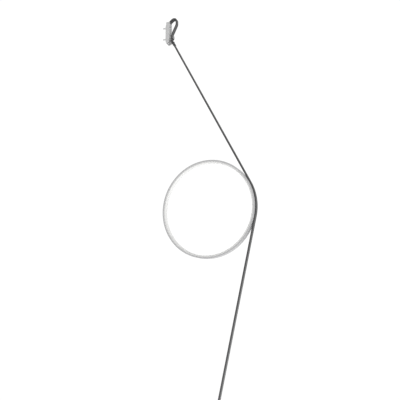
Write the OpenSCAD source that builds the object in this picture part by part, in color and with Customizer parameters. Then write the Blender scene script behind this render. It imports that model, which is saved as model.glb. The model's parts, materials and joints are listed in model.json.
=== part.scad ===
// Wall ring light: a thin ring that leans on the wall, slung in a flat belt cable.
// The belt hangs from a small wall bracket, lies round the room side of the ring and
// runs on down to an in-line dimmer.
// Frame: the wall is the plane X = 0 and the room is on +X. The ring lies in the plane
// Y = 0. +Z is up. The origin is the middle of the wall plate's back face.

/* [Ring] */
// Outer diameter of the ring
ring_d = 200; // [160:5:260]
// Width of the ring, across its plane
ring_w = 10; // [9.5:0.5:16]
// Radial depth of the aluminium channel
channel_t = 3; // [3:0.2:5]
// Radial depth of the opal diffuser
diffuser_t = 3; // [3:0.2:6]
// Wall of the channel's two side flanges
flange_t = 1; // [0.9:0.1:1.2]
// Number of light-emitting packages round the strip
led_count = 72; // [36:6:96]

/* [Belt cable] */
// Width of the flat belt cable
belt_w = 8; // [6:0.5:8.5]
// Thickness of the belt cable
belt_t = 3.4; // [2.4:0.2:4]
// Depth of the groove in the ring that the belt lies in
groove_d = 0.4; // [0.2:0.1:0.6]
// Height of the pivot above the middle of the ring
drop = 389; // [300:1:480]
// Lean of the belt from the plumb line below the ring, in degrees
tail_lean = 13; // [8:0.5:16]

/* [Wall bracket] */
// Width of the wall plate
plate_w = 16; // [14:1:26]
// Height of the wall plate
plate_h = 50; // [46:1:64]
// Depth of the wall plate with its recessed base
plate_t = 10; // [9:0.5:14]
// Distance between the two wall screws
screw_gap = 28; // [22:1:30]
// Diameter of the wall screws
screw_d = 4; // [3:0.5:5]
// Distance of the belt pivot from the face of the wall plate
pivot_gap = 6; // [6:0.5:12]
// Diameter of the pivot pin
pin_d = 2.5; // [2:0.1:3]

/* [Dimmer] */
// Length of the dimmer housing
dimmer_l = 62; // [56:1:90]
// Width of the dimmer housing
dimmer_w = 24; // [22:1:34]
// Thickness of the dimmer housing
dimmer_t = 14; // [13:0.5:20]
// Wall of the dimmer housing
shell_t = 1.6; // [1.2:0.1:2]
// Diameter of the push button
button_d = 10; // [8:0.5:14]
// Travel of the push button
button_travel = 1.2; // [0.6:0.1:1.5]

/* [Hidden] */
$fn = 96;
// Radial play of the pin in the clip
running_gap = 0.04;
// Play between pieces that only lie next to each other
gap = 0.1;
eps = 0.01;

ring_r = ring_d / 2;
channel_r = ring_r - channel_t;
diffuser_r = channel_r - diffuser_t;
groove_r = ring_r - groove_d;
belt_r = groove_r + belt_t / 2;
// Thickness of the channel's web, between the groove and the light chamber
web_t = 1.6;
web_r = groove_r - web_t;
groove_w = belt_w + 2 * gap;

// How far the bumper stands out of the ring's rim
bumper_proud = 0.5;
bumper_half_angle = 9;
ring_x = ring_r + bumper_proud;

// The pivot of the belt clip, this far above the plate's lower edge, and the middle of
// the ring below it
pivot_up = 1.5;
pivot_out = plate_t + pivot_gap;
pivot = [pivot_out, pivot_up - plate_h / 2];
ring_c = [ring_x, pivot[1] - drop];
reach = norm(pivot - ring_c);
// Lean of the belt from the plumb line above the ring
upper_lean = atan((ring_c[0] - pivot[0]) / drop) + asin(belt_r / reach);
top_touch = ring_c + belt_r * [cos(upper_lean), sin(upper_lean)];
belt_dir = [sin(upper_lean), -cos(upper_lean)];

// Where the feed goes through the ring
feed_angle = 6;
boss_d = 3.8;
feed_pin_d = 0.7;
feed_pin_y = 1.2;
feed_board_t = 0.8;
feed_board_w = 5.2;
feed_board_l = 12;
// Radius of the boss's inner face, which the board is soldered against
boss_foot_r = channel_r - gap;
// The boss ends in the groove, its flat top clear of the round belt
boss_top_r = sqrt(groove_r * groove_r - boss_d * boss_d / 4) - gap / 2;

// Copper tapes in the belt
tape_w = 2;
tape_t = 0.5;
tape_y = 2;

// The strip of lights
strip_t = 0.3;
strip_w = 5;
led_h = 0.7;
led_w = 2.8;
led_l = 3.5;
// Free angle at the feed, where the strip's two ends meet the board
strip_gap_angle = 9;
strip_r = web_r - strip_t;
// A flat package sits on the round strip by its two ends
led_r = sqrt(strip_r * strip_r - led_l * led_l / 4) - eps;

// The fork under the plate. Its foot lies on the plate's sloping lower face
foot_lean = 20;
foot_in = 6.2;
foot_out = 2.7;
lug_t = 1.2;
lug_r = 2.8;
lug_bar_t = 2;
knuckle_r = 2.3;
knuckle_w = belt_w;
fork_w = knuckle_w + 2 * (lug_t + gap);
spine_t = 1.2;
spine_h = 12;
clamp_t = 1;
clamp_h = 8;
// Height of the clamp's lower edge, and of the strap's cut end, above the spine's foot
clamp_up = 2.5;
strap_foot_up = 1.5;
rivet_d = 1.6;
rivet_y = 2;
rivet_proud = 0.4;
strap_w = belt_w;
// The two small screws that hold the fork's foot under the plate
fork_screw_y = 3.5;
fork_screw_in = 3;
fork_screw_l = 5;
fork_screw_head_d = 3;
fork_screw_head_h = 1;

// The crook that the strap lies on
tongue_lean = 36;
tongue_t = 1.2;
tongue_w = strap_w - 1.5;
crook_out = 3.3;
crook_up = 47.6;
crook_c = [pivot[0] + crook_out, pivot[1] + crook_up];
crook_r = 5.5;
strap_mid_r = crook_r + belt_t / 2;
// From the crook the strap drops plumb, leans back towards the wall and ends above the pivot
strap_lean = 26;
strap_bend_r = 8;
strap_bend_down = 8;
strap_x = pivot[0];
spine_x = strap_x - belt_t / 2 - spine_t / 2;

// Belt clip
clip_cheek_t = 0.7;
clip_l = 12;
clip_slot_start = 4;

// Route of the belt below the ring: held taut, so its points lie on one line
TAIL_ROUTE = [
    [199.20, -435.29], [194.52, -455.56], [189.84, -475.83], [185.16, -496.10],
    [180.48, -516.37], [175.80, -536.64], [171.12, -556.91], [166.44, -577.18],
    [161.76, -597.45], [157.08, -617.72], [152.40, -637.99], [147.72, -658.26],
    [143.04, -678.53], [138.36, -698.80], [133.68, -719.07], [129.00, -739.34],
    [124.32, -759.61], [119.64, -779.88], [114.96, -800.15], [110.28, -820.42]
];
tail_end = TAIL_ROUTE[len(TAIL_ROUTE) - 1];

// Dimmer
relief_l = 20;
relief_in = 6;
// Growth of the relief over the belt: its inner flange, its neck in the case's slot, its
// first rib outside, its last rib, and its sleeve between the ribs
relief_flange = 2.4;
relief_neck = 1.6;
relief_last_rib = 1.12;
relief_sleeve = 0.9;
relief_ribs = 5;
case_corner = 5;
board_w = 10;
board_t = 1.2;
// The board starts this far below the case's top
board_down = 6;
board_l = dimmer_l - 20;
jack_w = 9;
jack_h = 10;
jack_l = 13;
jack_bore = 5.5;
jack_depth = 9.5;
jack_pin_d = 2;
button_gap = 0.15;
button_proud = 1.6;
button_skirt_t = 1;
button_at = 24;
switch_w = 6;
switch_h = 3.2;
plunger_d = 3;
case_screw_d = 2.2;
case_screw_at = [12, dimmer_l - 16];
case_screw_y = dimmer_w / 2 - 4.2;
case_screw_head_d = case_screw_d + 1.6;
case_screw_head_h = 1.2;
case_screw_sink = 0.2;
post_d = case_screw_d + 2.4;

// ---- helpers: outlines are drawn as (X, Z) and given their width along Y ----

module side(w) {
    rotate([90, 0, 0]) linear_extrude(height = w, center = true) children();
}

// A straight band of thickness t from p to q, longer at both ends so that it joins what it meets
module bar(p, q, t, extra = eps) {
    d = q - p;
    translate(p) rotate(atan2(d[1], d[0])) translate([-extra, -t / 2])
        square([norm(d) + 2 * extra, t]);
}

// Part of a band round c, between two radii and two angles under 180 degrees apart
module arc(c, r0, r1, a0, a1) {
    far = 2 * r1;
    mid = (a0 + a1) / 2;
    translate(c) intersection() {
        difference() {
            circle(r1);
            circle(r0);
        }
        polygon([
            [0, 0], far * [cos(a0), sin(a0)], far * [cos(mid), sin(mid)] * 1.5,
            far * [cos(a1), sin(a1)]
        ]);
    }
}

// A solid of revolution whose axis is the ring's own
module round_the_ring() {
    translate([ring_c[0], 0, ring_c[1]]) rotate([90, 0, 0]) rotate_extrude($fn = 240) children();
}

// Puts a child that is drawn along +X at radius 0 onto a spoke of the ring
module on_spoke(angle) {
    translate([ring_c[0], 0, ring_c[1]]) rotate([0, -angle, 0]) children();
}

// Puts a child that is drawn along -Z from the origin along the upper belt
module along_upper_belt() {
    translate([pivot[0], 0, pivot[1]]) rotate([0, -upper_lean, 0]) children();
}

// Puts a child that is drawn along -Z from the origin in line with the end of the tail.
// The housing's top face is at local Z = 0
module at_dimmer() {
    run = tail_end - TAIL_ROUTE[0];
    lean = atan(run[0] / run[1]);
    translate([tail_end[0], 0, tail_end[1]]) rotate([0, lean, 0])
        translate([0, 0, relief_in]) children();
}

// A rounded slab in the YZ plane whose faces are at X = x0 and X = x0 + t
module slab(x0, t, w, z_low, z_high, r) {
    translate([x0, 0, 0]) rotate([90, 0, 90]) linear_extrude(height = t) {
        translate([-w / 2 + r, z_low]) square([w - 2 * r, z_high - z_low]);
        translate([-w / 2, z_low + r]) square([w, z_high - z_low - 2 * r]);
        for (y = [-w / 2 + r, w / 2 - r], z = [z_low + r, z_high - r]) translate([y, z]) circle(r);
    }
}

module x_rod(x0, x1, d) {
    translate([x0, 0, 0]) rotate([0, 90, 0]) cylinder(h = x1 - x0, d = d);
}

module y_rod(w, d) {
    rotate([90, 0, 0]) cylinder(h = w, d = d, center = true);
}

// ---- wall bracket ----

head_d = 2 * screw_d;
head_h = screw_d / 2;
screw_hole_d = screw_d + 0.5;
// Captive screws: inside the plate they have a thinner neck, which just reaches out of it
neck_d = screw_d - 1;
neck_out = 0.2;
screw_reach = 8;
drive_r = 1.6;

module screw_places() {
    for (z = [-screw_gap / 2, screw_gap / 2]) translate([0, 0, z]) children();
}

// The tongue's straight stretch, from inside the plate to the crook
tongue_along = [cos(tongue_lean), sin(tongue_lean)];
tongue_up = [-sin(tongue_lean), cos(tongue_lean)];
tongue_in = 4;
tongue_top = crook_c + (crook_r - tongue_t / 2) * tongue_up;
tongue_start = tongue_top - (tongue_top[0] - plate_t + tongue_in) / cos(tongue_lean) * tongue_along;

// The curl ends at this angle above the horizontal
tongue_tip_angle = 20;

module tongue_outline() {
    bar(tongue_start, tongue_top, tongue_t);
    arc(crook_c, crook_r - tongue_t, crook_r, tongue_tip_angle, 90 + tongue_lean);
}

// The plate's sloping lower face passes through its lower front edge
foot_along = [cos(foot_lean), sin(foot_lean)];
foot_up = [-sin(foot_lean), cos(foot_lean)];
foot_edge = [plate_t, -plate_h / 2];
base_t = 3.2;
base_inset = 4;
plate_corner = 2.5;
under_plate = plate_t * tan(foot_lean);

module wall_plate() {
    color("gainsboro") difference() {
        union() {
            slab(
                0, base_t + eps, plate_w - 2 * base_inset,
                -plate_h / 2 + base_inset, plate_h / 2 - base_inset, plate_corner
            );
            slab(
                base_t, plate_t - base_t, plate_w,
                -plate_h / 2 - under_plate, plate_h / 2, plate_corner
            );
        }
        side(plate_w + 2) polygon([
            foot_edge + foot_along, foot_edge - (plate_t + 1) * foot_along,
            foot_edge - plate_t * [1, 1], foot_edge + [1, -plate_t]
        ]);
        screw_places() {
            x_rod(-1, plate_t + 1, screw_hole_d);
            translate([plate_t - head_h, 0, 0]) rotate([0, 90, 0])
                cylinder(h = head_h + eps, d1 = screw_hole_d, d2 = head_d + screw_hole_d - screw_d);
        }
        side(tongue_w + gap) bar(tongue_start, tongue_top, tongue_t + gap / 2);
        fork_screw_places() cylinder(h = fork_screw_l + gap, d = rivet_d + gap);
    }
}

module wall_screws() {
    color("silver") screw_places() difference() {
        union() {
            x_rod(-screw_reach, -neck_out, screw_d);
            x_rod(-neck_out - eps, plate_t - head_h + eps, neck_d);
            translate([plate_t - head_h, 0, 0]) rotate([0, 90, 0])
                cylinder(h = head_h, d1 = screw_d, d2 = head_d);
        }
        translate([plate_t - head_h * 0.7, 0, 0]) rotate([0, 90, 0])
            cylinder(h = head_h, r = drive_r, $fn = 6);
    }
}

module tongue() {
    color("dimgray") difference() {
        side(tongue_w) tongue_outline();
        strap_rivet_rod(rivet_d);
    }
}

// ---- fork that carries the pivot, and the strap's lower end ----

foot_gap = 2 * eps;

// Puts a child that is drawn along +Z from the foot's lower face onto both fork screws' axes
module fork_screw_places() {
    a = foot_edge - fork_screw_in * foot_along - (lug_t + foot_gap) * foot_up;
    for (y = [-fork_screw_y, fork_screw_y]) translate([a[0], y, a[1]])
        rotate([0, -foot_lean, 0]) children();
}

// The fork goes on after the plate is on the wall, so its screws come from below
module fork_screws() {
    color("silver") fork_screw_places() difference() {
        union() {
            translate([0, 0, -eps]) cylinder(h = fork_screw_l, d = rivet_d);
            translate([0, 0, -fork_screw_head_h]) cylinder(h = fork_screw_head_h, d = fork_screw_head_d);
        }
        translate([0, 0, -fork_screw_head_h - 1]) cylinder(h = 1.6, d = fork_screw_head_d / 2, $fn = 6);
    }
}

spine_foot = [spine_x, pivot[1] + lug_r + 1];
spine_top = spine_foot + [0, spine_h];

module hinge_fork() {
    foot_mid = foot_edge - (lug_t / 2 + foot_gap) * foot_up;
    foot_end = foot_mid + foot_out * foot_along;
    color("dimgray") difference() {
        union() {
            side(fork_w) bar(foot_mid - foot_in * foot_along, foot_end, lug_t);
            side(fork_w) bar(spine_foot, spine_foot + [0, 1.4], spine_t);
            side(strap_w) bar(spine_foot, spine_top, spine_t);
            for (s = [-1, 1]) translate([0, s * (fork_w - lug_t) / 2, 0]) side(lug_t) {
                translate(pivot) circle(lug_r);
                bar(foot_end - 0.5 * foot_along, pivot, lug_t);
                bar(pivot, spine_foot + [0, 1.4], lug_bar_t);
            }
        }
        translate([pivot[0], 0, pivot[1]]) y_rod(fork_w + 2, pin_d);
        fork_screw_places() translate([0, 0, -1]) cylinder(h = lug_t + 2, d = rivet_d + gap);
        clamp_rivet_rods(rivet_d);
    }
}

module pivot_pin() {
    head_t = 0.7;
    head_over_d = 1.4;
    color("silver") translate([pivot[0], 0, pivot[1]]) {
        y_rod(fork_w, pin_d);
        for (s = [-1, 1]) translate([0, s * (fork_w + head_t) / 2, 0])
            y_rod(head_t, pin_d + head_over_d);
    }
}

// ---- strap over the tongue, a short length of the same belt ----

// The strap's upper end lies this far down the tongue, and its rivet this far from the end
strap_end_l = 6.5;
strap_rivet_in = 3.5;
strap_rise_end = crook_c + strap_mid_r * tongue_up;
strap_tail = strap_rise_end - strap_end_l * tongue_along;
strap_fall = crook_c + [strap_mid_r, 0];
strap_corner = strap_fall - [0, strap_bend_down];
strap_knee = [strap_x, strap_corner[1] - (strap_fall[0] - strap_x) / tan(strap_lean)];
strap_foot = [strap_x, spine_foot[1] + strap_foot_up];
strap_bend_l = strap_bend_r * tan(strap_lean / 2);
strap_along = [sin(strap_lean), cos(strap_lean)];

module strap_outline() {
    r0 = strap_bend_r - belt_t / 2;
    r1 = strap_bend_r + belt_t / 2;
    lap = 0.3;
    bar(strap_tail, strap_rise_end, belt_t, lap);
    arc(crook_c, crook_r, crook_r + belt_t, 0, 90);
    arc(crook_c, crook_r, crook_r + belt_t, 90 - eps, 90 + tongue_lean);
    bar(strap_fall, strap_corner + [0, strap_bend_l], belt_t, lap);
    arc(strap_corner + [-strap_bend_r, strap_bend_l], r0, r1, -strap_lean, 0);
    bar(strap_corner - strap_bend_l * strap_along, strap_knee + strap_bend_l * strap_along, belt_t, lap);
    arc(strap_knee + [strap_bend_r, -strap_bend_l], r0, r1, 180 - strap_lean, 180);
    bar(strap_knee - [0, strap_bend_l], strap_foot, belt_t, lap);
}

module strap_rivet_rod(d) {
    a = strap_tail + strap_rivet_in * tongue_along - (belt_t / 2 + tongue_t + rivet_proud) * tongue_up;
    translate([a[0], 0, a[1]]) rotate([0, -tongue_lean, 0])
        cylinder(h = belt_t + tongue_t + 2 * rivet_proud, d = d);
}

module strap() {
    color("gray") difference() {
        side(strap_w) strap_outline();
        strap_rivet_rod(rivet_d);
        clamp_rivet_rods(rivet_d);
    }
}

module strap_rivets() {
    color("silver") strap_rivet_rod(rivet_d);
}

clamp_low = spine_foot[1] + clamp_up;

module clamp_rivet_rods(d) {
    x0 = spine_x - spine_t / 2 - rivet_proud;
    x1 = strap_x + belt_t / 2 + clamp_t + rivet_proud;
    for (y = [-rivet_y, rivet_y]) translate([0, y, clamp_low + clamp_h / 2]) x_rod(x0, x1, d);
}

module strap_clamp() {
    color("dimgray") difference() {
        slab(strap_x + belt_t / 2, clamp_t, strap_w, clamp_low, clamp_low + clamp_h, 1);
        clamp_rivet_rods(rivet_d);
    }
}

module clamp_rivets() {
    color("silver") clamp_rivet_rods(rivet_d);
}

// ---- clip on the pivot, which holds the top end of the belt ----

clip_t = belt_t + 2 * clip_cheek_t;

module clip_rivet_rods(d) {
    for (y = [-rivet_y, rivet_y]) translate([0, y, -(clip_slot_start + clip_l) / 2 - 1])
        x_rod(-clip_t / 2 - rivet_proud, clip_t / 2 + rivet_proud, d);
}

module belt_clip() {
    color("dimgray") along_upper_belt() difference() {
        union() {
            y_rod(knuckle_w, 2 * knuckle_r);
            translate([-clip_t / 2, -belt_w / 2, -clip_l]) cube([clip_t, belt_w, clip_l]);
        }
        y_rod(knuckle_w + 2, pin_d + 2 * running_gap);
        translate([-belt_t / 2, -belt_w, -clip_l - 1])
            cube([belt_t, 2 * belt_w, clip_l + 1 - clip_slot_start]);
        clip_rivet_rods(rivet_d);
    }
}

module clip_rivets() {
    color("silver") along_upper_belt() clip_rivet_rods(rivet_d);
}

// ---- belt cable ----

module feed_pin_rods(r0, r1, d) {
    for (y = [-feed_pin_y, feed_pin_y]) translate([0, y, 0]) on_spoke(feed_angle) x_rod(r0, r1, d);
}

module tape_outline(t) {
    arc(ring_c, belt_r - t / 2, belt_r + t / 2, -tail_lean, feed_angle + 2);
}

module belt() {
    color("gray") difference() {
        side(belt_w) {
            bar(pivot + clip_slot_start * belt_dir, top_touch, belt_t);
            arc(ring_c, groove_r, groove_r + belt_t, -tail_lean, upper_lean);
        }
        for (y = [-tape_y, tape_y]) translate([0, y, 0]) side(tape_w) tape_outline(tape_t);
        feed_pin_rods(groove_r - 1, belt_r, feed_pin_d);
        along_upper_belt() clip_rivet_rods(rivet_d);
    }
}

module copper_tapes() {
    color("peru") difference() {
        for (y = [-tape_y, tape_y]) translate([0, y, 0]) side(tape_w) tape_outline(tape_t);
        feed_pin_rods(groove_r - 1, belt_r, feed_pin_d);
    }
}

function tail_section() = let (a = belt_t / 2, b = belt_w / 2, c = 0.8) [
    [-a, -b + c], [-a + c, -b], [a - c, -b], [a, -b + c],
    [a, b - c], [a - c, b], [-a + c, b], [-a, b - c]
];

// One closed tube with a ring of points at each point of the route, square to it
module swept_tube(route, section) {
    n = len(route);
    m = len(section);
    points = [for (i = [0 : n - 1]) let (
        d = route[min(i + 1, n - 1)] - route[max(i - 1, 0)],
        u = d / norm(d)
    ) for (s = section) [route[i][0] - s[0] * u[1], s[1], route[i][1] + s[0] * u[0]]];
    sides = [for (i = [0 : n - 2], j = [0 : m - 1]) let (k = (j + 1) % m)
        [i * m + j, (i + 1) * m + j, (i + 1) * m + k, i * m + k]];
    first = [for (j = [0 : m - 1]) j];
    last = [for (j = [m - 1 : -1 : 0]) (n - 1) * m + j];
    polyhedron(points = points, faces = concat([first], sides, [last]));
}

module belt_tail() {
    color("gray") swept_tube(TAIL_ROUTE, tail_section());
}

// ---- ring ----

module ring_channel() {
    color("whitesmoke") difference() {
        round_the_ring() difference() {
            translate([channel_r, -ring_w / 2]) square([channel_t, ring_w]);
            translate([groove_r, -groove_w / 2]) square([groove_d + 1, groove_w]);
            translate([channel_r - 1, -ring_w / 2 + flange_t])
                square([web_r - channel_r + 1, ring_w - 2 * flange_t]);
        }
        on_spoke(feed_angle) x_rod(web_r - 1, groove_r + 1, boss_d + gap);
    }
}

diffuser_wall = 1.2;
diffuser_corner = 1.2;
lip_t = 0.8;
lip_h = 0.6;

module diffuser() {
    outer_y = ring_w / 2;
    lip_y = outer_y - flange_t - gap;
    wall = flange_t + lip_t + gap;
    color("ivory") round_the_ring() difference() {
        union() {
            translate([diffuser_r + diffuser_corner, -outer_y])
                square([diffuser_t - diffuser_corner, ring_w]);
            translate([diffuser_r, -outer_y + diffuser_corner])
                square([diffuser_t, ring_w - 2 * diffuser_corner]);
            for (s = [-1, 1])
                translate([diffuser_r + diffuser_corner, s * (outer_y - diffuser_corner)])
                    circle(diffuser_corner);
            translate([channel_r - eps, -lip_y]) square([lip_h, 2 * lip_y]);
        }
        translate([diffuser_r + diffuser_wall, -outer_y + wall])
            square([diffuser_t + 2, ring_w - 2 * wall]);
    }
}

module led_strip() {
    half_gap = strip_gap_angle / 2;
    color("white") side(strip_w) difference() {
        translate(ring_c) circle(web_r);
        translate(ring_c) circle(strip_r);
        arc(ring_c, strip_r - 1, web_r + 1, feed_angle - half_gap, feed_angle + half_gap);
    }
}

module led_packages() {
    step = 360 / led_count;
    color("khaki") for (i = [0 : led_count - 1])
        if (i * step > strip_gap_angle / 2 + 1 && i * step < 359 - strip_gap_angle / 2)
            on_spoke(feed_angle + i * step)
                translate([led_r - led_h, -led_w / 2, -led_l / 2]) cube([led_h, led_w, led_l]);
}

module feed_boss() {
    color("gray") difference() {
        on_spoke(feed_angle) x_rod(boss_foot_r, boss_top_r, boss_d);
        feed_pin_rods(boss_foot_r - 1, groove_r + 1, feed_pin_d);
    }
}

module feed_pins() {
    color("gold") feed_pin_rods(boss_foot_r - feed_board_t - 2 * gap, belt_r, feed_pin_d);
}

module feed_board() {
    color("white") difference() {
        on_spoke(feed_angle)
            translate([boss_foot_r - feed_board_t, -feed_board_w / 2, -feed_board_l / 2])
                cube([feed_board_t, feed_board_w, feed_board_l]);
        feed_pin_rods(boss_foot_r - feed_board_t - 1, boss_foot_r + 1, feed_pin_d);
    }
}

module wall_bumper() {
    color("white") side(belt_w) arc(
        ring_c, groove_r + 2 * eps, ring_r + bumper_proud,
        180 - bumper_half_angle, 180 + bumper_half_angle
    );
}

// ---- dimmer at the end of the tail ----

// A block round the belt that is larger than the belt by grow on every side
module round_belt(grow, z0, z1) {
    translate([-belt_t / 2 - grow, -belt_w / 2 - grow, z0])
        cube([belt_t + 2 * grow, belt_w + 2 * grow, z1 - z0]);
}

// Ribs that get smaller from the housing towards the belt, a flange inside the case, and a neck
module tail_relief() {
    pitch = relief_l / relief_ribs;
    step = (relief_flange - relief_last_rib) / (relief_ribs - 1);
    color("dimgray") at_dimmer() difference() {
        union() {
            round_belt(relief_flange, -relief_in, -relief_in + 2.4);
            round_belt(relief_neck, -relief_in, 0);
            round_belt(relief_sleeve, 0, relief_l);
            for (i = [0 : relief_ribs - 1])
                round_belt(relief_flange - step * i, i * pitch, (i + 0.75) * pitch);
        }
        round_belt(0, -relief_in - 1, relief_l + 1);
    }
}

// Half of the case, on the side s of the plane through its middle
module case_half(s) {
    inner_t = dimmer_t / 2 - shell_t;
    difference() {
        slab(s > 0 ? 0 : -dimmer_t / 2, dimmer_t / 2, dimmer_w, -dimmer_l, 0, case_corner);
        slab(
            s > 0 ? -1 : -inner_t, inner_t + 1, dimmer_w - 2 * shell_t,
            -dimmer_l + shell_t, -shell_t, case_corner - shell_t
        );
        round_belt(relief_neck, -shell_t - 1, 1);
        translate([-jack_w / 2, -jack_h / 2, -dimmer_l - 1]) cube([jack_w, jack_h, shell_t + 2]);
    }
}

module case_screw_places() {
    for (z = case_screw_at, y = [-case_screw_y, case_screw_y]) translate([0, y, -z]) children();
}

module case_posts(s, d) {
    wall_x = dimmer_t / 2 - shell_t + eps;
    case_screw_places() x_rod(s > 0 ? 0 : -wall_x, s > 0 ? wall_x : 0, d);
}

module dimmer_front() {
    color("gray") at_dimmer() difference() {
        union() {
            case_half(1);
            case_posts(1, post_d);
        }
        translate([0, 0, -button_at])
            x_rod(dimmer_t / 2 - shell_t - 1, dimmer_t / 2 + 1, button_d + 2 * button_gap);
        case_screw_places() x_rod(-1, dimmer_t / 2 - shell_t - 0.4, case_screw_d);
    }
}

module dimmer_back() {
    color("gray") at_dimmer() difference() {
        union() {
            case_half(-1);
            case_posts(-1, post_d);
        }
        case_screw_places() {
            x_rod(-dimmer_t / 2 - 1, 1, case_screw_d + 2 * gap);
            x_rod(
                -dimmer_t / 2 - 1, -dimmer_t / 2 + case_screw_sink + case_screw_head_h,
                case_screw_head_d + 3 * gap
            );
        }
    }
}

module case_screws() {
    head_x = -dimmer_t / 2 + case_screw_sink;
    color("silver") at_dimmer() case_screw_places() difference() {
        union() {
            x_rod(head_x, dimmer_t / 2 - shell_t - 0.6, case_screw_d);
            x_rod(head_x, head_x + case_screw_head_h, case_screw_head_d);
        }
        translate([head_x - 1, 0, 0]) rotate([0, 90, 0]) cylinder(h = 1.8, r = 0.9, $fn = 6);
    }
}

board_x = -dimmer_t / 2 + shell_t + 1.2;
board_top = board_x + board_t;

module dimmer_board() {
    color("darkgreen") at_dimmer() difference() {
        translate([board_x, -board_w / 2, -board_down - board_l]) cube([board_t, board_w, board_l]);
        case_posts(-1, post_d + 4 * gap);
    }
}

module press_switch() {
    color("black") at_dimmer() translate([board_top, -switch_w / 2, -button_at - switch_w / 2])
        cube([switch_h, switch_w, switch_w]);
}

// The driver below the switch, and a small regulator above it
module driver_chip() {
    chip = [1.6, 6.4, 5];
    regulator = [2.2, 3, 3];
    color("black") at_dimmer() {
        translate([board_top, -chip[1] / 2, -button_at - 15]) cube(chip);
        translate([board_top, -board_w / 2, -button_at + 5]) cube(regulator);
    }
}

module dimmer_button() {
    inner_x = dimmer_t / 2 - shell_t;
    stem_x = board_top + switch_h + button_travel + 2 * gap;
    color("silver") at_dimmer() translate([0, 0, -button_at]) {
        x_rod(inner_x - 4 * gap, dimmer_t / 2 + button_proud, button_d);
        x_rod(inner_x - 2 * gap - button_skirt_t, inner_x - 2 * gap, button_d + 2);
        x_rod(stem_x, inner_x, plunger_d);
    }
}

module supply_socket() {
    foot_z = -dimmer_l - 0.3;
    color("black") at_dimmer() difference() {
        translate([-jack_w / 2, -jack_h / 2, foot_z]) cube([jack_w, jack_h, jack_l]);
        translate([0, 0, foot_z - 1]) cylinder(h = jack_depth + 1, d = jack_bore);
    }
}

// It stands on the bottom of the socket's bore, 1.3 mm back from its mouth
module socket_pin() {
    pin_z = -dimmer_l + 1;
    color("silver") at_dimmer() translate([0, 0, pin_z])
        cylinder(h = jack_depth - 0.3 - 1, d = jack_pin_d);
}

wall_plate();
wall_screws();
tongue();
hinge_fork();
fork_screws();
strap();
strap_rivets();
strap_clamp();
clamp_rivets();
pivot_pin();
belt_clip();
clip_rivets();
belt();
copper_tapes();
ring_channel();
diffuser();
led_strip();
led_packages();
feed_boss();
feed_pins();
feed_board();
wall_bumper();
belt_tail();
tail_relief();
dimmer_front();
dimmer_back();
dimmer_board();
press_switch();
driver_chip();
dimmer_button();
supply_socket();
socket_pin();
case_screws();
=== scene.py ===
# %% [markdown]
# # A wall ring light
#
# A thin ring with a strip of lights inside leans on a wall. Its own flat supply cable, wide as a
# belt, hangs from a small bracket on the wall, lies round the room side of the ring, and runs on
# down to a small dimmer.
#
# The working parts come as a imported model, the frame. This script never moves them. It builds
# the pieces that show with softer edges and finer sections, in the same places, and gives every
# surface a material.

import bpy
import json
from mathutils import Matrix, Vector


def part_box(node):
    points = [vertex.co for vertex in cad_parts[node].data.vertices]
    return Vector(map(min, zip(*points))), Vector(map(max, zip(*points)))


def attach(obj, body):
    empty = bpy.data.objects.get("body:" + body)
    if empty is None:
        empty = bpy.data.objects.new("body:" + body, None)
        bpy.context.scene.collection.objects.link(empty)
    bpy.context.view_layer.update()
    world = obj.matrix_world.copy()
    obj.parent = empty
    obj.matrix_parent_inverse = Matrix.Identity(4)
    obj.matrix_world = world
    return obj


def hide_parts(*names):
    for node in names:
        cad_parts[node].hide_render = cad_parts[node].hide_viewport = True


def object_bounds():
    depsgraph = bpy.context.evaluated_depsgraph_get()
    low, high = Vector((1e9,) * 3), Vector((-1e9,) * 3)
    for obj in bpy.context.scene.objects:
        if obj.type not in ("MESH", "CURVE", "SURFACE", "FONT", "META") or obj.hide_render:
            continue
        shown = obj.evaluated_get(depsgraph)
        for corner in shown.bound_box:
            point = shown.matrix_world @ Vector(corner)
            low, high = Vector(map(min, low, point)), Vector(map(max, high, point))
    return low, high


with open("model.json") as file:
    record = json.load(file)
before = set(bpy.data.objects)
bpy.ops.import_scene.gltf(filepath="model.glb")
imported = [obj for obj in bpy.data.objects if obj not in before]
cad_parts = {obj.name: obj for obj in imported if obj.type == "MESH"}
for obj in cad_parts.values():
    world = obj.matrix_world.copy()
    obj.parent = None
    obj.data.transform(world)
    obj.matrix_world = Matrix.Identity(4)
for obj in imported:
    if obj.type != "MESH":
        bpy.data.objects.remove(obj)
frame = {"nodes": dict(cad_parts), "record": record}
cad_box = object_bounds()

# %% The modules that the rest of the script uses
import json
from math import asin, atan, cos, hypot, pi, radians, sin

import bmesh
import bpy
from mathutils import Matrix, Vector

MM = 0.001

# %% [markdown]
# ## Where things are
#
# Every place is read from the frame, so that the looks follow the design. The ring lies in the
# plane Y = 0 and the wall is the plane X = 0. From the boxes of a few parts and the pivot of the
# swing joint come the middle of the ring, the middle of the belt's thickness, and the two points
# where the belt touches the ring.

# %% Read the main places from the frame
channel_low, channel_high = (Vector(corner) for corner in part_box("ring_channel"))
tail_low, tail_high = (Vector(corner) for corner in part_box("belt_tail"))
joints = {joint["name"]: joint for joint in frame["record"]["behaviour"]["joints"]}

ring_middle = (channel_low + channel_high) / 2
ring_radius = (channel_high.z - channel_low.z) / 2
ring_width = channel_high.y - channel_low.y
pivot = Vector(joints["lamp_swing"]["pos_m"])
belt_width = tail_high.y - tail_low.y
BELT_THICK = 3.4 * MM
GROOVE_DEPTH = 0.4 * MM
belt_radius = ring_radius - GROOVE_DEPTH + BELT_THICK / 2
print("ring radius", round(ring_radius / MM, 2), "mm, belt", round(belt_width / MM, 2), "mm wide")

# %% [markdown]
# ## Camera first
#
# A camera is an object with a lens. It stands a little below the middle of the ring, out in the
# room, about a metre away, and looks up at the lamp. The lens has the same angle of view as a
# short tele lens on a small camera. `to_track_quat` turns it towards a point.

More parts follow.
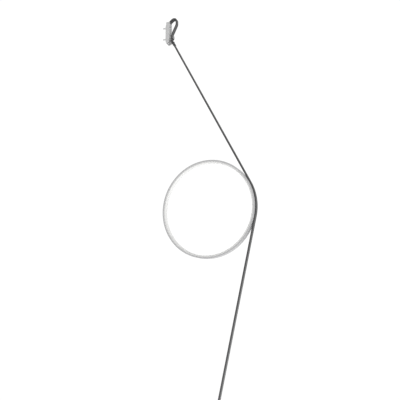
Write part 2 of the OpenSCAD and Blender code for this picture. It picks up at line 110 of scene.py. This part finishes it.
# %% Place the camera
LENS = 43.2
SENSOR = 36
camera_place = ring_middle + Vector((0.3698, -0.8673, -0.1889))
camera_aim = ring_middle + Vector((-0.0171, 0.0, 0.0193))
camera_data = bpy.data.cameras.new("room_camera")
camera_data.lens = LENS
camera_data.sensor_width = SENSOR
camera = bpy.data.objects.new("room_camera", camera_data)
bpy.context.collection.objects.link(camera)
camera.location = camera_place
camera.rotation_euler = (camera_aim - camera_place).to_track_quat("-Z", "Y").to_euler()
bpy.context.scene.camera = camera
print("camera", tuple(round(c, 3) for c in camera_place))

# %% [markdown]
# ## Small helpers
#
# Each piece is a mesh that starts in a `bmesh`, Blender's workshop for meshes. `new_piece` turns
# a finished bmesh into an object, and says which CAD body the object rides on.

# %% A finished bmesh becomes an object
def new_piece(name, work, body, smooth_angle=40):
    mesh = bpy.data.meshes.new(name)
    work.to_mesh(mesh)
    work.free()
    mesh.shade_smooth()
    mesh.set_sharp_from_angle(angle=radians(smooth_angle))
    piece = bpy.data.objects.new(name, mesh)
    bpy.context.collection.objects.link(piece)
    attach(piece, body)
    print(f"{name}: {len(mesh.polygons)} faces")
    return piece


# %% [markdown]
# ## The belt cable
#
# The cable is a flat belt, 8 mm wide and 3.4 mm thick, with round edges and a shallow groove along
# the middle of each face, between its two flat conductors. It could be a curve with a bevel
# object, but a curve twists its section where it bends. A section that is extruded along the
# straights and spun round the bends stays square to the plane of the ring, as a belt does.
#
# The section starts as a grid, one face high. Its corners are bevelled, its middle is pressed in
# a little, and only its outline is kept.

# %% The belt's section
EDGE_ROUND = 1 * MM
FACE_GROOVE = 0.22 * MM


def belt_section(work, place, along):
    """Draws the belt's outline at a place, square to the direction along, and returns its edges."""
    grid = bmesh.ops.create_grid(work, x_segments=8, y_segments=1, size=0.5)
    corners = [v for v in grid["verts"] if abs(v.co.x) > 0.49]
    bmesh.ops.scale(work, vec=(belt_width, BELT_THICK, 1), verts=grid["verts"])
    middle = [v for v in grid["verts"] if abs(v.co.x) < 0.01 * belt_width]
    bmesh.ops.scale(work, vec=(1, 1 - 2 * FACE_GROOVE / BELT_THICK, 1), verts=middle)
    bmesh.ops.bevel(
        work, geom=corners, offset=EDGE_ROUND, segments=5, profile=0.5, affect="VERTICES", material=-1
    )
    inner = [e for e in work.edges if not e.is_boundary]
    bmesh.ops.delete(work, geom=list(work.faces), context="FACES_ONLY")
    bmesh.ops.delete(work, geom=[e for e in inner if e.is_valid], context="EDGES")
    across = Vector((along.z, 0, -along.x))
    turn = Matrix((Vector((0, 1, 0)), across, along)).transposed().to_4x4()
    bmesh.ops.transform(work, matrix=Matrix.Translation(place) @ turn, verts=work.verts)
    return list(work.edges)


# %% Runs of belt: straight stretches and bends
def run_straight(work, edges, shift, steps):
    """Extrudes the outline along shift and returns the outline at the far end."""
    for _ in range(steps):
        made = bmesh.ops.extrude_edge_only(work, edges=edges)["geom"]
        verts = [g for g in made if isinstance(g, bmesh.types.BMVert)]
        bmesh.ops.translate(work, vec=shift / steps, verts=verts)
        far = set(verts)
        edges = [g for g in made if isinstance(g, bmesh.types.BMEdge) and set(g.verts) <= far]
    return edges


def run_bend(work, edges, centre, degrees, steps):
    """Spins the outline about the Y axis through centre and returns the outline at the far end."""
    made = bmesh.ops.spin(
        work, geom=edges, cent=centre, axis=(0, 1, 0), angle=radians(degrees), steps=steps
    )
    return [g for g in made["geom_last"] if isinstance(g, bmesh.types.BMEdge)]


def close_run(work, first, last):
    """Caps both ends and turns every face outwards."""
    for rim in (first, last):
        bmesh.ops.edgeloop_fill(work, edges=rim)
    bmesh.ops.remove_doubles(work, verts=work.verts, dist=0.0005 * MM)
    bmesh.ops.recalc_face_normals(work, faces=work.faces)


# %% [markdown]
# A pattern along the belt needs to know how far along the belt a point is. The distance is kept
# on every vertex as an attribute called `run`, which materials can read. It is the length of the
# belt's middle line up to the nearest point of that line.

# %% Write the distance along the belt on every vertex
def mark_run(piece, line, start=0.0):
    lengths = [start]
    for a, b in zip(line, line[1:]):
        lengths.append(lengths[-1] + (b - a).length)
    values = []
    for vert in piece.data.vertices:
        best = None
        for i, (a, b) in enumerate(zip(line, line[1:])):
            share = max(0.0, min(1.0, (vert.co - a).dot(b - a) / (b - a).length_squared))
            off = (vert.co - a.lerp(b, share)).length
            if best is None or off < best[0]:
                best = (off, lengths[i] + share * (b - a).length)
        values.append(best[1])
    piece.data.attributes.new("run", "FLOAT", "POINT").data.foreach_set("value", values)
    return lengths[-1]


# %% [markdown]
# ### Below the ring
#
# The belt leaves the ring on a straight line that leans 13 degrees towards the wall. A free
# belt would hang plumb, so something below holds it taut. The points of its route are the ones
# that the design uses, in millimetres.

# %% The tail of the belt
TAIL_ROUTE = [
    (199.20, -435.29), (194.52, -455.56), (189.84, -475.83), (185.16, -496.10),
    (180.48, -516.37), (175.80, -536.64), (171.12, -556.91), (166.44, -577.18),
    (161.76, -597.45), (157.08, -617.72), (152.40, -637.99), (147.72, -658.26),
    (143.04, -678.53), (138.36, -698.80), (133.68, -719.07), (129.00, -739.34),
    (124.32, -759.61), (119.64, -779.88), (114.96, -800.15), (110.28, -820.42),
]
tail_line = [Vector((x * MM, 0, z * MM)) for x, z in TAIL_ROUTE]
tail_along = (tail_line[-1] - tail_line[0]).normalized()

work = bmesh.new()
first = belt_section(work, tail_line[0], tail_along)
last = first
for a, b in zip(tail_line, tail_line[1:]):
    last = run_straight(work, last, b - a, 1)
close_run(work, first, last)
belt_tail = new_piece("belt_below_ring", work, "lamp")
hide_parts("belt_tail")

# %% [markdown]
# ### From the wall to the ring
#
# The belt's middle line starts in the clip below the pivot, runs straight to the point where it
# touches the ring, and follows the ring's groove to the point where the tail starts. The lean of
# the straight is the angle at which a line through the pivot is tangent to the belt's circle.

# %% The belt from the clip to the tail
to_ring = ring_middle - pivot
upper_lean = atan(to_ring.x / -to_ring.z) + asin(belt_radius / hypot(to_ring.x, to_ring.z))
tail_lean = atan(tail_along.x / tail_along.z)
CLIP_SLOT = 4 * MM


def on_ring(angle, radius):
    """The point at an angle above the horizontal, on a circle round the ring's middle."""
    return ring_middle + radius * Vector((cos(angle), 0, sin(angle)))


upper_along = Vector((sin(upper_lean), 0, -cos(upper_lean)))
belt_start = pivot + CLIP_SLOT * upper_along
belt_touch = on_ring(upper_lean, belt_radius)
wrap_degrees = (upper_lean + tail_lean) * 180 / pi
print("belt leans", round(upper_lean * 180 / pi, 2), "degrees and wraps", round(wrap_degrees, 1))

work = bmesh.new()
first = belt_section(work, belt_start, upper_along)
last = run_straight(work, first, belt_touch - belt_start, 20)
last = run_bend(work, last, ring_middle, wrap_degrees, 32)
close_run(work, first, last)
belt = new_piece("belt_jacket", work, "lamp")
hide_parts("belt")

WRAP_STEPS = 24
wrap_step = (upper_lean + tail_lean) / WRAP_STEPS
wrap_line = [on_ring(upper_lean - i * wrap_step, belt_radius) for i in range(WRAP_STEPS + 1)]
belt_length = mark_run(belt, [belt_start] + wrap_line)
mark_run(belt_tail, tail_line, belt_length)

# %% [markdown]
# ### Over the tongue
#
# A short length of the same belt lies on the sprung tongue of the bracket and turns over its
# curled tip. From there it drops plumb for a little, leans back towards the wall and ends above
# the pivot, where it is clamped to the fork. The box of the strap gives the place of its turn.

# %% The strap's shape
strap_low, strap_high = (Vector(corner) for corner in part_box("strap"))
RISE_LEAN = 36
TURN_RADIUS = 7.2 * MM
FALL_LEAN = 26
BEND_RADIUS = 8 * MM
BEND_DOWN = 8 * MM
RISE_LENGTH = 6.5 * MM

turn_middle = strap_high - Vector((1, 0, 1)) * (TURN_RADIUS + BELT_THICK / 2)
turn_middle.y = 0
rise_along = Vector((cos(radians(RISE_LEAN)), 0, sin(radians(RISE_LEAN))))
rise_end = turn_middle + TURN_RADIUS * Vector((-rise_along.z, 0, rise_along.x))
turn_end = turn_middle + Vector((TURN_RADIUS, 0, 0))
fall_along = Vector((-sin(radians(FALL_LEAN)), 0, -cos(radians(FALL_LEAN))))
upper_corner = turn_end - Vector((0, 0, BEND_DOWN))
lower_corner = upper_corner + fall_along * ((pivot.x - upper_corner.x) / fall_along.x)
bend_reach = BEND_RADIUS * sin(radians(FALL_LEAN / 2)) / cos(radians(FALL_LEAN / 2))
strap_foot = Vector((pivot.x, 0, strap_low.z))

# %% The strap
DOWN = Vector((0, 0, -1))
work = bmesh.new()
first = belt_section(work, rise_end - rise_along * RISE_LENGTH, rise_along)
last = run_straight(work, first, rise_along * RISE_LENGTH, 4)
last = run_bend(work, last, turn_middle, 90 + RISE_LEAN, 20)
last = run_straight(work, last, DOWN * (BEND_DOWN - bend_reach), 3)
last = run_bend(work, last, upper_corner + Vector((-BEND_RADIUS, 0, bend_reach)), FALL_LEAN, 6)
slope = lower_corner - upper_corner
last = run_straight(work, last, slope - 2 * bend_reach * fall_along, 6)
last = run_bend(work, last, lower_corner + Vector((BEND_RADIUS, 0, -bend_reach)), -FALL_LEAN, 6)
last = run_straight(work, last, strap_foot - lower_corner - DOWN * bend_reach, 4)
close_run(work, first, last)
strap = new_piece("strap_over_tongue", work, "bracket")
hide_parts("strap")
TURN_STEPS = 12
turn_line = [
    turn_middle + TURN_RADIUS * Vector((cos(angle), 0, sin(angle)))
    for angle in (radians((90 + RISE_LEAN) * (1 - i / TURN_STEPS)) for i in range(TURN_STEPS + 1))
]
strap_start = rise_end - rise_along * RISE_LENGTH
mark_run(strap, [strap_start, *turn_line, upper_corner, lower_corner, strap_foot])

# %% [markdown]
# ## The ring
#
# The ring is a drawn aluminium channel, rolled into a circle, with an opal light ring snapped
# into its inner side. Both are solids of revolution, so each is one section that is spun a full
# turn about the ring's axis. `use_merge` joins the last step to the first.
#
# A section starts as a face made from a few corners. Bevelling its vertices breaks the edges, as
# drawn aluminium and moulded plastic have them. The first two corners are bevelled apart, because
# they are much rounder on the light ring. The outline alone is then spun.

# %% Spin a section round the ring
def ring_section(work, corners, first_round, other_round):
    """corners are (radius, y) in metres. The first two have their own rounding.
    Returns the outline's edges."""
    verts = [work.verts.new(ring_middle + Vector((r, y, 0))) for r, y in corners]
    work.faces.new(verts)
    for some, offset, segments in ((verts[:2], first_round, 6), (verts[2:], other_round, 3)):
        bmesh.ops.bevel(
            work, geom=some, offset=offset, segments=segments,
            profile=0.5, affect="VERTICES", material=-1
        )
    bmesh.ops.delete(work, geom=list(work.faces), context="FACES_ONLY")
    return list(work.edges)


def spin_ring(name, corners, first_round, other_round, steps=240):
    work = bmesh.new()
    outline = ring_section(work, corners, first_round, other_round)
    bmesh.ops.spin(
        work, geom=outline, cent=ring_middle, axis=(0, 1, 0), angle=2 * pi, steps=steps, use_merge=True
    )
    bmesh.ops.remove_doubles(work, verts=work.verts, dist=0.0005 * MM)
    bmesh.ops.recalc_face_normals(work, faces=work.faces)
    return new_piece(name, work, "lamp", smooth_angle=50)


# %% The aluminium channel
CHANNEL_DEPTH = 3 * MM
WEB = 1.6 * MM
FLANGE = 1 * MM
PLAY = 0.1 * MM
CHANNEL_EDGE = 0.15 * MM

half = ring_width / 2
channel_inner = ring_radius - CHANNEL_DEPTH
groove_floor = ring_radius - GROOVE_DEPTH
web_under = groove_floor - WEB
groove_half = belt_width / 2 + PLAY

channel_corners = [
    (channel_inner, -half), (ring_radius, -half), (ring_radius, -groove_half),
    (groove_floor, -groove_half), (groove_floor, groove_half), (ring_radius, groove_half),
    (ring_radius, half), (channel_inner, half), (channel_inner, half - FLANGE),
    (web_under, half - FLANGE), (web_under, FLANGE - half), (channel_inner, FLANGE - half),
]
channel = spin_ring("channel_shell", channel_corners, CHANNEL_EDGE, CHANNEL_EDGE)
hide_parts("ring_channel")

# %% [markdown]
# The light ring is hollow towards the strip of lights. It stands on the channel's two flanges with
# a low lip between them, and the corners of its inner side are well rounded.

# %% The opal light ring
OPAL_DEPTH = 3 * MM
OPAL_WALL = 1.2 * MM
OPAL_CORNER = 1.2 * MM
OPAL_EDGE = 0.2 * MM
LIP_WALL = 0.8 * MM
LIP_HEIGHT = 0.6 * MM

opal_inner = channel_inner - OPAL_DEPTH
opal_hollow = opal_inner + OPAL_WALL
lip_top = channel_inner + LIP_HEIGHT
lip_half = half - FLANGE - PLAY
wall_in = lip_half - LIP_WALL
opal_corners = [
    (opal_inner, -half), (opal_inner, half), (channel_inner, half),
    (channel_inner, lip_half), (lip_top, lip_half), (lip_top, wall_in),
    (opal_hollow, wall_in), (opal_hollow, -wall_in), (lip_top, -wall_in),
    (lip_top, -lip_half), (channel_inner, -lip_half), (channel_inner, -half),
]
opal = spin_ring("opal_light_ring", opal_corners, OPAL_CORNER, OPAL_EDGE)
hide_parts("diffuser")

# %% [markdown]
# ## Parts that keep their CAD shape
#
# The bracket, the fork, the clip and the dimmer already have the right shape. What they lack is
# the small radius that every real edge has and that catches the light. `soften` takes a copy of
# a part, joins its loose triangles, and bevels each edge that is sharp. The bevelled faces are
# marked with an attribute, `edge`, so that a material can show wear there. A weighted normal
# keeps the flat faces flat in the shading.

# %% Soften a copy of a CAD part
def soften(node, name, body, width, segments=3):
    work = bmesh.new()
    work.from_mesh(frame["nodes"][node].data)
    bmesh.ops.remove_doubles(work, verts=work.verts, dist=0.002 * MM)
    bmesh.ops.dissolve_limit(work, angle_limit=radians(0.5), verts=work.verts, edges=work.edges)
    sharp = [e for e in work.edges if e.is_manifold and e.calc_face_angle() > radians(28)]
    made = bmesh.ops.bevel(
        work, geom=sharp, offset=width, offset_type="OFFSET", segments=segments,
        profile=0.5, affect="EDGES", clamp_overlap=True, material=-1
    )
    worn = work.faces.layers.float.new("edge")
    for face in made["faces"]:
        if face.is_valid:
            face[worn] = 1.0
    piece = new_piece(name, work, body, smooth_angle=60)
    weighted = piece.modifiers.new("flat_faces", "WEIGHTED_NORMAL")
    weighted.keep_sharp = True
    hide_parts(node)
    return piece


# %% The bracket on the wall
bracket_pieces = [
    soften("wall_plate", "bracket_plate", "bracket", 0.45 * MM),
    soften("wall_screws", "countersunk_screws", "bracket", 0.15 * MM, 2),
    soften("tongue", "sprung_tongue", "bracket", 0.2 * MM, 2),
    soften("hinge_fork", "belt_fork", "bracket", 0.2 * MM, 2),
    soften("strap_clamp", "clamp_plate", "bracket", 0.25 * MM, 2),
    soften("pivot_pin", "riveted_pin", "bracket", 0.3 * MM),
    soften("fork_screws", "arm_screws", "bracket", 0.3 * MM),
    soften("strap_rivets", "tongue_rivet", "bracket", 0.3 * MM),
    soften("clamp_rivets", "clamp_plate_rivets", "bracket", 0.3 * MM),
]
clip_pieces = [
    soften("belt_clip", "swinging_clip", "lamp", 0.2 * MM, 2),
    soften("clip_rivets", "clip_plate_rivets", "lamp", 0.3 * MM),
]

# %% The dimmer
dimmer_pieces = [
    soften("dimmer_front", "front_shell", "lamp", 0.5 * MM),
    soften("dimmer_back", "back_shell", "lamp", 0.5 * MM),
    soften("tail_relief", "strain_relief", "lamp", 0.3 * MM),
    soften("supply_socket", "socket_body", "lamp", 0.2 * MM, 2),
    soften("case_screws", "shell_screws", "lamp", 0.12 * MM, 2),
    soften("dimmer_button", "push_button", "button", 0.4 * MM),
]
bumper = soften("wall_bumper", "soft_bumper", "lamp", 0.25 * MM)

# %% [markdown]
#
# The stretch below the ring is the free one. It leaves the ring's groove at the first point of
# its route and ends in the dimmer, whose parts are on it.

# %% [markdown]
# ## Materials
#
# Every finish is made of nodes and reads Object coordinates or an attribute of the piece. Two
# effects are shared by several finishes, so each is a node group: a fine grain, which gives a
# height and a mottle, and edge wear, which brightens the bevelled edges in broken patches.

# %% Helpers for nodes
def group_sockets(group, inputs, outputs):
    for name, value in inputs:
        socket = group.interface.new_socket(name, in_out="INPUT", socket_type="NodeSocketFloat")
        socket.default_value = value
    for name in outputs:
        group.interface.new_socket(name, in_out="OUTPUT", socket_type="NodeSocketFloat")
    return group.nodes.new("NodeGroupInput"), group.nodes.new("NodeGroupOutput")


def math_node(tree, operation, a, b=0.0, c=0.0):
    node = tree.nodes.new("ShaderNodeMath")
    node.operation = operation
    for socket, value in zip(node.inputs, (a, b, c)):
        if isinstance(value, (int, float)):
            socket.default_value = value
        else:
            tree.links.new(value, socket)
    return node.outputs[0]


# %% Fine grain: a small height for bumps and a slow mottle for colour
grain = bpy.data.node_groups.new("fine_grain", "ShaderNodeTree")
grain_in, grain_out = group_sockets(grain, [("Size", 900.0), ("Patch", 30.0)], ["Height", "Mottle"])
grain_place = grain.nodes.new("ShaderNodeTexCoord").outputs["Object"]
fine = grain.nodes.new("ShaderNodeTexNoise")
fine.inputs["Detail"].default_value = 3
slow = grain.nodes.new("ShaderNodeTexNoise")
slow.inputs["Detail"].default_value = 2
for noise, size in ((fine, "Size"), (slow, "Patch")):
    grain.links.new(grain_place, noise.inputs["Vector"])
    grain.links.new(grain_in.outputs[size], noise.inputs["Scale"])
grain.links.new(fine.outputs["Fac"], grain_out.inputs["Height"])
grain.links.new(slow.outputs["Fac"], grain_out.inputs["Mottle"])

# %% Edge wear: broken patches on bevelled edges
wear = bpy.data.node_groups.new("edge_wear", "ShaderNodeTree")
wear_in, wear_out = group_sockets(wear, [("Amount", 0.5)], ["Mask"])
edge_mark = wear.nodes.new("ShaderNodeAttribute")
edge_mark.attribute_name = "edge"
patches = wear.nodes.new("ShaderNodeTexNoise")
patches.inputs["Scale"].default_value = 420
patches.inputs["Detail"].default_value = 4
wear.links.new(wear.nodes.new("ShaderNodeTexCoord").outputs["Object"], patches.inputs["Vector"])
broken = math_node(wear, "MULTIPLY_ADD", patches.outputs["Fac"], 5.0, -2.3)
patchy = math_node(wear, "MULTIPLY", edge_mark.outputs["Fac"], math_node(wear, "MINIMUM", broken, 1.0))
amount = math_node(wear, "MULTIPLY", math_node(wear, "MAXIMUM", patchy, 0.0), wear_in.outputs["Amount"])
wear.links.new(amount, wear_out.inputs["Mask"])

# %% [markdown]
# `finish` makes one material: a plain Principled shader, with a base colour that drifts a little
# with the mottle and brightens where an edge is worn, a roughness that drifts the same way, and
# the grain as a bump.

# %% One finish
def finish(
    name, colour, rough, metal=0.0, size=900.0, bump=0.1, drift=0.06, worn=0.0, worn_colour=None
):
    material = bpy.data.materials.new(name)
    material.use_nodes = True
    tree = material.node_tree
    shader = tree.nodes["Principled BSDF"]
    shader.inputs["Metallic"].default_value = metal

    texture = tree.nodes.new("ShaderNodeGroup")
    texture.node_tree = grain
    texture.inputs["Size"].default_value = size
    shades = tree.nodes.new("ShaderNodeMix")
    shades.data_type = "RGBA"
    shades.inputs["A"].default_value = (*(c * (1 - drift) for c in colour), 1)
    shades.inputs["B"].default_value = (*(min(1.0, c * (1 + drift)) for c in colour), 1)
    tree.links.new(texture.outputs["Mottle"], shades.inputs["Factor"])
    surface = shades.outputs["Result"]

    if worn > 0:
        edges = tree.nodes.new("ShaderNodeGroup")
        edges.node_tree = wear
        edges.inputs["Amount"].default_value = worn
        rubbed = tree.nodes.new("ShaderNodeMix")
        rubbed.data_type = "RGBA"
        rubbed.inputs["B"].default_value = (*(worn_colour or colour), 1)
        tree.links.new(edges.outputs["Mask"], rubbed.inputs["Factor"])
        tree.links.new(surface, rubbed.inputs["A"])
        surface = rubbed.outputs["Result"]

    tree.links.new(surface, shader.inputs["Base Color"])
    gloss = math_node(tree, "MULTIPLY_ADD", texture.outputs["Mottle"], 0.12, rough - 0.06)
    tree.links.new(gloss, shader.inputs["Roughness"])
    relief = tree.nodes.new("ShaderNodeBump")
    relief.inputs["Strength"].default_value = bump
    relief.inputs["Distance"].default_value = 0.05 * MM
    tree.links.new(texture.outputs["Height"], relief.inputs["Height"])
    tree.links.new(relief.outputs["Normal"], shader.inputs["Normal"])
    return material


def paint(piece, material):
    piece.data.materials.clear()
    piece.data.materials.append(material)


# %% [markdown]
# ### The jacket of the belt
#
# Extruded soft plastic is dark, smooth and a little glossy. Along its length it has faint drawing
# lines, which follow the belt because they depend on the distance across it, and a very slight
# chatter from the haul-off, which depends on the distance along it.

# %% The belt's jacket
jacket = finish("belt_jacket", (0.06, 0.06, 0.061), 0.3, size=1500, bump=0.06, drift=0.05)
jacket_tree = jacket.node_tree
jacket_shader = jacket_tree.nodes["Principled BSDF"]
jacket_shader.inputs["Coat Weight"].default_value = 0.25
jacket_shader.inputs["Coat Roughness"].default_value = 0.2
across = jacket_tree.nodes.new("ShaderNodeSeparateXYZ")
jacket_tree.links.new(jacket_tree.nodes.new("ShaderNodeTexCoord").outputs["Object"], across.inputs[0])
DRAWN_LINES = 14000
CHATTER = 2600
drawn_phase = math_node(jacket_tree, "MULTIPLY", across.outputs["Y"], DRAWN_LINES)
drawn = math_node(jacket_tree, "SINE", drawn_phase)
along_mark = jacket_tree.nodes.new("ShaderNodeAttribute")
along_mark.attribute_name = "run"
chatter_phase = math_node(jacket_tree, "MULTIPLY", along_mark.outputs["Fac"], CHATTER)
chatter = math_node(jacket_tree, "SINE", chatter_phase)
ribs = math_node(jacket_tree, "MULTIPLY_ADD", chatter, 0.35, drawn)
lines = jacket_tree.nodes.new("ShaderNodeBump")
lines.inputs["Strength"].default_value = 0.12
lines.inputs["Distance"].default_value = 0.02 * MM
jacket_tree.links.new(ribs, lines.inputs["Height"])
jacket_grain = next(n for n in jacket_tree.nodes if n.type == "BUMP" and n != lines)
jacket_tree.links.new(jacket_grain.outputs["Normal"], lines.inputs["Normal"])
jacket_tree.links.new(lines.outputs["Normal"], jacket_shader.inputs["Normal"])
for piece in (belt, belt_tail, strap):
    paint(piece, jacket)

# %% [markdown]
# ### Ring, light and bracket
#
# The channel is painted satin grey-white over aluminium. The light ring is opal: it lets some
# light through, and its inner face glows softly from the strip behind it. The glow fades over the
# rounded corner to the two side faces, so it is worked out from the distance to the ring's axis.
# The bracket's plate is painted pale grey. The sprung tongue and the clip are blackened steel, and
# the fork and the clamp plate are satin steel. All of them are brighter where their edges rub.

# %% Finishes of the ring and the bracket
ring_paint = finish("ring_paint", (0.55, 0.55, 0.555), 0.38, size=1200, bump=0.05, drift=0.03)
paint(channel, ring_paint)

opal_plastic = finish("opal_plastic", (0.76, 0.76, 0.752), 0.42, size=700, bump=0.03, drift=0.02)
opal_shader = opal_plastic.node_tree.nodes["Principled BSDF"]
opal_shader.inputs["Subsurface Weight"].default_value = 0.3
opal_shader.inputs["Subsurface Radius"].default_value = (1, 1, 1)
opal_shader.inputs["Subsurface Scale"].default_value = 1 * MM
opal_shader.inputs["Emission Color"].default_value = (1.0, 0.99, 0.97, 1)
GLOW = 0.05
GLOW_DEPTH = 1 * MM


def vector_node(tree, operation, a, b=(0, 0, 0)):
    node = tree.nodes.new("ShaderNodeVectorMath")
    node.operation = operation
    tree.links.new(a, node.inputs[0])
    node.inputs[1].default_value = b
    return node.outputs["Value" if operation == "LENGTH" else "Vector"]


opal_tree = opal_plastic.node_tree
from_middle = vector_node(
    opal_tree, "SUBTRACT", opal_tree.nodes.new("ShaderNodeTexCoord").outputs["Object"], ring_middle
)
from_axis = vector_node(opal_tree, "LENGTH", vector_node(opal_tree, "MULTIPLY", from_middle, (1, 0, 1)))
fade = opal_tree.nodes.new("ShaderNodeMapRange")
fade.interpolation_type = "SMOOTHSTEP"
for socket, value in (
    ("From Min", opal_inner), ("From Max", opal_inner + GLOW_DEPTH),
    ("To Min", GLOW), ("To Max", 0),
):
    fade.inputs[socket].default_value = value
opal_tree.links.new(from_axis, fade.inputs["Value"])
opal_tree.links.new(fade.outputs["Result"], opal_shader.inputs["Emission Strength"])
paint(opal, opal_plastic)

plate_paint = finish(
    "plate_paint", (0.6, 0.6, 0.6), 0.4, size=1000, bump=0.12, worn=0.35, worn_colour=(0.7, 0.7, 0.7)
)
dark_steel = finish(
    "dark_steel", (0.06, 0.06, 0.062), 0.38, metal=0.6, size=1600, bump=0.1, worn=0.5,
    worn_colour=(0.35, 0.35, 0.35)
)
satin_steel = finish(
    "satin_steel", (0.3, 0.3, 0.303), 0.4, metal=0.8, size=1800, bump=0.1, worn=0.4,
    worn_colour=(0.5, 0.5, 0.5)
)
bright_steel = finish("bright_steel", (0.72, 0.72, 0.72), 0.3, metal=1.0, size=2200, bump=0.08)
BRACKET_FINISHES = {
    "bracket_plate": plate_paint, "countersunk_screws": bright_steel, "belt_fork": satin_steel,
    "clamp_plate": satin_steel, "arm_screws": bright_steel, "clamp_plate_rivets": bright_steel,
}
for piece in bracket_pieces + clip_pieces:
    paint(piece, BRACKET_FINISHES.get(piece.name, dark_steel))

# %% [markdown]
# ### Dimmer, bumper and the parts inside
#
# The case has the fine spark texture of a moulded housing. What is inside keeps its CAD shape and
# gets a finish in its place: circuit boards, chips, the lights, copper and gilt pins.

# %% Finishes of the dimmer and the parts inside
case_plastic = finish(
    "case_plastic", (0.16, 0.16, 0.162), 0.5, size=2600, bump=0.45, worn=0.2,
    worn_colour=(0.24, 0.24, 0.24)
)
relief_rubber = finish("relief_rubber", (0.09, 0.09, 0.092), 0.55, size=1800, bump=0.2)
button_metal = finish("button_metal", (0.62, 0.62, 0.63), 0.3, metal=1.0, size=2400, bump=0.08)
soft_clear = finish("soft_clear", (0.62, 0.62, 0.61), 0.45, size=900, bump=0.05)
soft_clear.node_tree.nodes["Principled BSDF"].inputs["Transmission Weight"].default_value = 0.4
moulded_black = finish("moulded_black", (0.03, 0.03, 0.03), 0.4, size=2000, bump=0.15)
DIMMER_FINISHES = (
    case_plastic, case_plastic, relief_rubber, moulded_black, bright_steel, button_metal
)
for piece, material in zip(dimmer_pieces, DIMMER_FINISHES):
    paint(piece, material)
paint(bumper, soft_clear)

INSIDE = {
    "copper_tapes": finish("copper", (0.72, 0.33, 0.2), 0.3, metal=1.0, size=1800),
    "led_strip": finish("white_circuit", (0.8, 0.8, 0.79), 0.4, size=1500),
    "led_packages": finish("light_lens", (0.85, 0.72, 0.25), 0.3, size=3000),
    "feed_boss": jacket,
    "feed_pins": finish("gilt", (0.8, 0.58, 0.2), 0.25, metal=1.0, size=2500),
    "feed_board": finish("white_board", (0.78, 0.79, 0.78), 0.4, size=1500),
    "dimmer_board": finish("green_board", (0.02, 0.12, 0.05), 0.35, size=1500),
    "press_switch": moulded_black,
    "driver_chip": moulded_black,
    "socket_pin": bright_steel,
}
for name, material in INSIDE.items():
    paint(frame["nodes"][name], material)
print("finishes:", len(bpy.data.materials))

# %% [markdown]
# ## Floor and light
#
# The lamp hangs on a wall at head height, so the floor lies far below it: a pale disc on the
# same white as the air round it. The light is that of a white studio. The air itself gives an
# even white light, less than its own whiteness shows, so that pale parts keep their shading. A
# large panel on the room side brightens what faces the room, and a smaller one above keeps the
# top edges clear.

# %% The floor
FLOOR_DROP = 1.1
FLOOR_RADIUS = 30
FLOOR_GLOW = 0.5
work = bmesh.new()
bmesh.ops.create_circle(work, cap_ends=True, segments=96, radius=FLOOR_RADIUS)
bmesh.ops.translate(work, vec=(0, 0, cad_box[0][2] - FLOOR_DROP), verts=work.verts)
floor_mesh = bpy.data.meshes.new("studio_floor")
work.to_mesh(floor_mesh)
work.free()
floor = bpy.data.objects.new("studio_floor", floor_mesh)
bpy.context.collection.objects.link(floor)
pale_floor = finish("pale_floor", (0.9, 0.9, 0.9), 0.8, size=40, bump=0.02, drift=0.01)
floor_shader = pale_floor.node_tree.nodes["Principled BSDF"]
floor_shader.inputs["Emission Color"].default_value = (1, 1, 1, 1)
floor_shader.inputs["Emission Strength"].default_value = FLOOR_GLOW
paint(floor, pale_floor)

# %% The light
def panel(name, place, aim, size, power):
    data = bpy.data.lights.new(name, "AREA")
    data.shape = "DISK"
    data.size = size
    data.energy = power
    lamp = bpy.data.objects.new(name, data)
    bpy.context.collection.objects.link(lamp)
    lamp.location = place
    lamp.rotation_euler = (aim - place).to_track_quat("-Z", "Y").to_euler()


panel("room_panel", ring_middle + Vector((2.6, -0.2, 0.3)), ring_middle, 1.6, 22)
panel("top_panel", ring_middle + Vector((0.6, -0.8, 2.4)), ring_middle, 1.4, 5)

AIR_SEEN = 1.05
AIR_LIGHT = 0.6
air = bpy.data.worlds.new("white_air")
bpy.context.scene.world = air
air.use_nodes = True
air_light = air.node_tree.nodes["Background"]
air_light.inputs["Color"].default_value = (1, 1, 1, 1)
seen = air.node_tree.nodes.new("ShaderNodeLightPath").outputs["Is Camera Ray"]
level = math_node(air.node_tree, "MULTIPLY_ADD", seen, AIR_SEEN - AIR_LIGHT, AIR_LIGHT)
air.node_tree.links.new(level, air_light.inputs["Strength"])
bpy.context.scene.view_settings.view_transform = "Standard"

# %% [markdown]
# ## Last: the size
#
# The looks must not outgrow the design, so the box of the CAD parts is printed.

# %% Print the CAD box and finish
print("CAD box", [[round(c, 4) for c in corner] for corner in cad_box])
